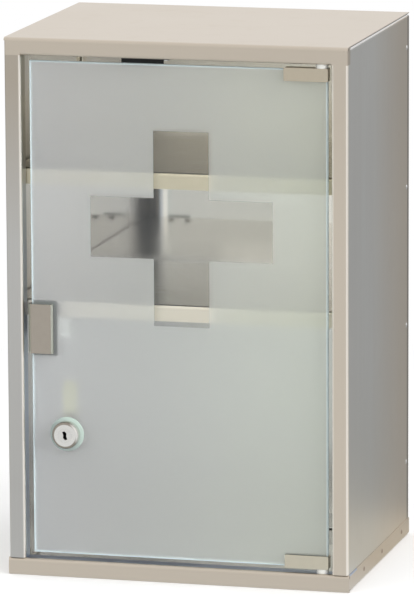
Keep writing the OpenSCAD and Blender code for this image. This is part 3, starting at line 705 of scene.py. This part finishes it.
def floor_points(reach, steps=49):
    """A level square: x and y run from -reach to reach, closer together near the middle, and z is 0."""
    line = np.linspace(-1.0, 1.0, steps)
    line = np.sign(line) * np.abs(line) ** 2 * reach
    x, y = np.meshgrid(line, line)
    return np.stack([x, y, np.zeros_like(x)], axis=-1)


# ---------------------------------------------------------------- operators


class CABINET_OT_sheets(bpy.types.Operator):
    """Finish the folded steel sheets: sides, top, floor pan, back and shelves"""

    bl_idname = "cabinet.sheets"
    bl_label = "Steel sheets"

    def execute(self, context):
        dress(sheet_steel("steel_brushed_upright", "z"), "left_side", "right_side")
        dress(sheet_steel("steel_brushed_level", "x"), "top_panel", "bottom_pan")
        dress(shelf_sheet("steel_satin_shelf"), "upper_shelf", "lower_shelf")
        dress(back_sheet("steel_mill_back"), "back_panel")
        return {"FINISHED"}


class CABINET_OT_rivets(bpy.types.Operator):
    """Finish the blind rivets that join the sheets"""

    bl_idname = "cabinet.rivets"
    bl_label = "Rivets"

    def execute(self, context):
        dress(bright_metal("aluminium_rivet", colours().aluminium, 0.25, 0.45, 0.8),
              "left_back_rivets", "right_back_rivets", "stop_rivet")
        dress(bright_metal("dull_rivet", colours().dull_rivet, 0.3, 0.5, 0.8), "left_pan_rivets", "right_pan_rivets")
        return {"FINISHED"}


class CABINET_OT_catch(bpy.types.Operator):
    """Finish the magnetic catch, the hinge bushes and the rubber stop"""

    bl_idname = "cabinet.catch"
    bl_label = "Catch, bushes and stop"

    def execute(self, context):
        c = colours()
        dress(moulded("white_plastic", c.white_plastic, 0.35, 0.5), "top_bush", "bottom_bush", "catch_body")
        dress(moulded("ferrite", c.ferrite, 0.55, 0.75, 0.4, 2400.0, COARSE_BUMP), "catch_magnet")
        dress(bright_metal("zinc_plate", c.nickel, 0.18, 0.34, 0.7), "catch_poles", "catch_screws")
        dress(moulded("black_rubber", c.rubber, 0.6, 0.8, 0.35, 1500.0, COARSE_BUMP), "door_stop", "lock_washer")
        return {"FINISHED"}


class CABINET_OT_glass(bpy.types.Operator):
    """Finish the glass door with its etched face and clear cross"""

    bl_idname = "cabinet.glass"
    bl_label = "Glass door"

    def execute(self, context):
        dress(etched_glass("etched_glass"), "glass_door")
        return {"FINISHED"}


class CABINET_OT_hinges(bpy.types.Operator):
    """Finish the pivot clips and the strike with their pads, screws and pins"""

    bl_idname = "cabinet.hinges"
    bl_label = "Hinge clips and strike"

    def execute(self, context):
        c = colours()
        # The two clips share one metal; painted light makes the bottom one lighter.
        dress(bright_metal("brushed_clip_top", TOP_CLIP, 0.26, 0.40, 0.4), "top_clip")
        dress(bright_metal("brushed_clip_low", BOTTOM_CLIP, 0.26, 0.40, 0.4), "bottom_clip")
        dress(strike_metal("brushed_strike", c.clip_steel), "strike_clip")
        dress(bright_metal("bright_pin", c.nickel, 0.15, 0.28, 0.4), "top_pivot_pin", "bottom_pivot_pin")
        dress(moulded("dark_pad", c.dark_plastic, 0.5, 0.7, 0.4), "top_clip_pad", "bottom_clip_pad")
        dress(moulded("green_pad", c.strike_plastic, 0.5, 0.7, 0.4), "strike_pad")
        dress(bright_metal("black_screw", c.ferrite, 0.3, 0.5, 0.6),
              "top_clip_screws", "bottom_clip_screws", "strike_screw")
        return {"FINISHED"}


class CABINET_OT_lock(bpy.types.Operator):
    """Finish the cam lock: body, plug, ring, nut, cam and screw"""

    bl_idname = "cabinet.lock"
    bl_label = "Cam lock"

    def execute(self, context):
        c = colours()
        dress(lock_metal("nickel_lock", c.nickel), "lock_body")
        dress(bright_metal("nickel_nut", c.nickel, 0.10, 0.22, 0.35), "lock_nut")
        dress(plug_metal("nickel_plug", c.nickel), "lock_plug")
        dress(ring_plastic("mint_ring", c.mint_plastic), "lock_gasket")
        dress(bright_metal("yellow_cam", c.passivated, 0.22, 0.4, 0.7), "lock_cam")
        dress(bright_metal("black_cam_screw", c.ferrite, 0.3, 0.5, 0.6), "cam_screw")
        return {"FINISHED"}


def soft_lamp(name, place, aim, width, height, power):
    """A rectangular lamp at a place, turned to face its aim, that neither the camera nor metal sees."""
    lamp = bpy.data.lights.new(name, "AREA")
    lamp.shape = "RECTANGLE"
    lamp.size, lamp.size_y = width, height
    lamp.energy = power
    holder = bpy.data.objects.new(name, lamp)
    holder.location = place
    holder.rotation_euler = (Vector(aim) - Vector(place)).to_track_quat("-Z", "Y").to_euler()
    holder.visible_camera = False
    holder.visible_glossy = False
    bpy.context.scene.collection.objects.link(holder)
    return holder


def floor_material():
    """Matt pale floor that keeps the shadow near the cabinet and is white beyond.

    Metal sees a room's softer tones in it.
    """
    r = new_material("studio_floor")
    x, y, _ = r.place()
    seen = r.ray("Is Camera Ray").most(r.ray("Is Transmission Ray"))
    tone = r.blend(seen, FLOOR_LIT, FLOOR_SEEN)
    lit = r.surface({"Base Color": tone, "Roughness": 0.9, "Specular IOR Level": 0.0})
    white = r.node("ShaderNodeEmission", {}, {"Color": WHITE, "Strength": 1.0})
    away = (x * x + y * y).over(0.55, 0.7)
    front = r.blend(y.over(-0.04, 0.1), ROOM_FRONT, ROOM_NEAR)
    room = r.blend(y.over(0.185, 0.10), front, ROOM_BEHIND)
    soft = r.node("ShaderNodeEmission", {}, {"Color": room, "Strength": 1.0})
    return r.done(r.between(r.ray("Is Glossy Ray"), r.between(seen * away, lit, white), soft))


def room_world():
    """White where the camera, metal and glass look, and an even grey light on matt surfaces."""
    world = bpy.data.worlds.new("studio_room")
    bpy.context.scene.world = world
    r = Recipe(world)
    seen = r.ray("Is Camera Ray").most(r.ray("Is Transmission Ray")).most(r.ray("Is Glossy Ray"))
    level = studio().sky + seen * (1.0 - studio().sky)
    room = r.node("ShaderNodeBackground", {}, {"Color": WHITE, "Strength": level})
    return r.done(room, "ShaderNodeOutputWorld")


class CABINET_OT_studio(bpy.types.Operator):
    """Set up the pale floor, the soft lamps and the camera"""

    bl_idname = "cabinet.studio"
    bl_label = "Studio"

    def execute(self, context):
        s = studio()
        floor = show("studio_floor", grid_mesh("studio_floor", floor_points(s.floor_reach)), floor_material())
        room_world()
        middle = (0.0, 0.0, 0.25)
        soft_lamp("key_lamp", (1.55, -0.62, 0.62), middle, 0.9, 1.1, s.key_power)
        soft_lamp("top_lamp", (0.2, -0.3, 2.6), middle, 3.0, 3.0, s.top_power)
        soft_lamp("fill_lamp", (-2.4, -1.8, 1.4), middle, 1.8, 1.8, s.fill_power)

        camera = bpy.data.cameras.new("studio_camera")
        camera.sensor_fit = "AUTO"
        camera.sensor_width = 36.0
        camera.lens = s.lens
        camera.clip_start, camera.clip_end = 0.1, 60.0
        holder = bpy.data.objects.new("studio_camera", camera)
        level = math.cos(s.tilt)
        ahead = Vector((-math.sin(s.turn) * level, math.cos(s.turn) * level, -math.sin(s.tilt)))
        right = Vector((math.cos(s.turn), math.sin(s.turn), 0.0))
        up = right.cross(ahead)
        right, up = (math.cos(s.roll) * right + math.sin(s.roll) * up,
                     math.cos(s.roll) * up - math.sin(s.roll) * right)
        holder.matrix_world = Matrix.Translation(Vector(s.eye)) @ Matrix((right, up, -ahead)).transposed().to_4x4()
        context.scene.collection.objects.link(holder)
        context.scene.camera = holder
        context.scene.view_settings.view_transform = "Standard"
        return {"FINISHED"}


class CABINET_PT_panel(bpy.types.Panel):
    """The cabinet's pieces, one button each"""

    bl_idname = "CABINET_PT_panel"
    bl_label = "Cabinet"
    bl_space_type = "VIEW_3D"
    bl_region_type = "UI"
    bl_category = "Cabinet"

    def draw(self, context):
        for operator in OPERATORS:
            self.layout.operator(operator.bl_idname)
        for group in (sizes(), colours(), studio()):
            box = self.layout.box()
            for name in group.__annotations__:
                box.prop(group, name)


OPERATORS = (
    CABINET_OT_sheets,
    CABINET_OT_rivets,
    CABINET_OT_catch,
    CABINET_OT_glass,
    CABINET_OT_hinges,
    CABINET_OT_lock,
    CABINET_OT_studio,
)
CLASSES = (CabinetSizes, CabinetColours, StudioSettings, *OPERATORS, CABINET_PT_panel)


def register():
    """Registers the classes and hangs the settings on the scene."""
    for cls in CLASSES:
        bpy.utils.register_class(cls)
    bpy.types.Scene.cabinet_sizes = bpy.props.PointerProperty(type=CabinetSizes)
    bpy.types.Scene.cabinet_colours = bpy.props.PointerProperty(type=CabinetColours)
    bpy.types.Scene.cabinet_studio = bpy.props.PointerProperty(type=StudioSettings)


def unregister():
    """Takes the settings off the scene and unregisters the classes."""
    del bpy.types.Scene.cabinet_studio
    del bpy.types.Scene.cabinet_colours
    del bpy.types.Scene.cabinet_sizes
    for cls in reversed(CLASSES):
        bpy.utils.unregister_class(cls)


def main():
    """Builds the scene piece by piece."""
    register()
    bpy.ops.cabinet.sheets()
    bpy.ops.cabinet.rivets()
    bpy.ops.cabinet.catch()
    bpy.ops.cabinet.glass()
    bpy.ops.cabinet.hinges()
    bpy.ops.cabinet.lock()
    bpy.ops.cabinet.studio()


if __name__ == "__main__":
    main()
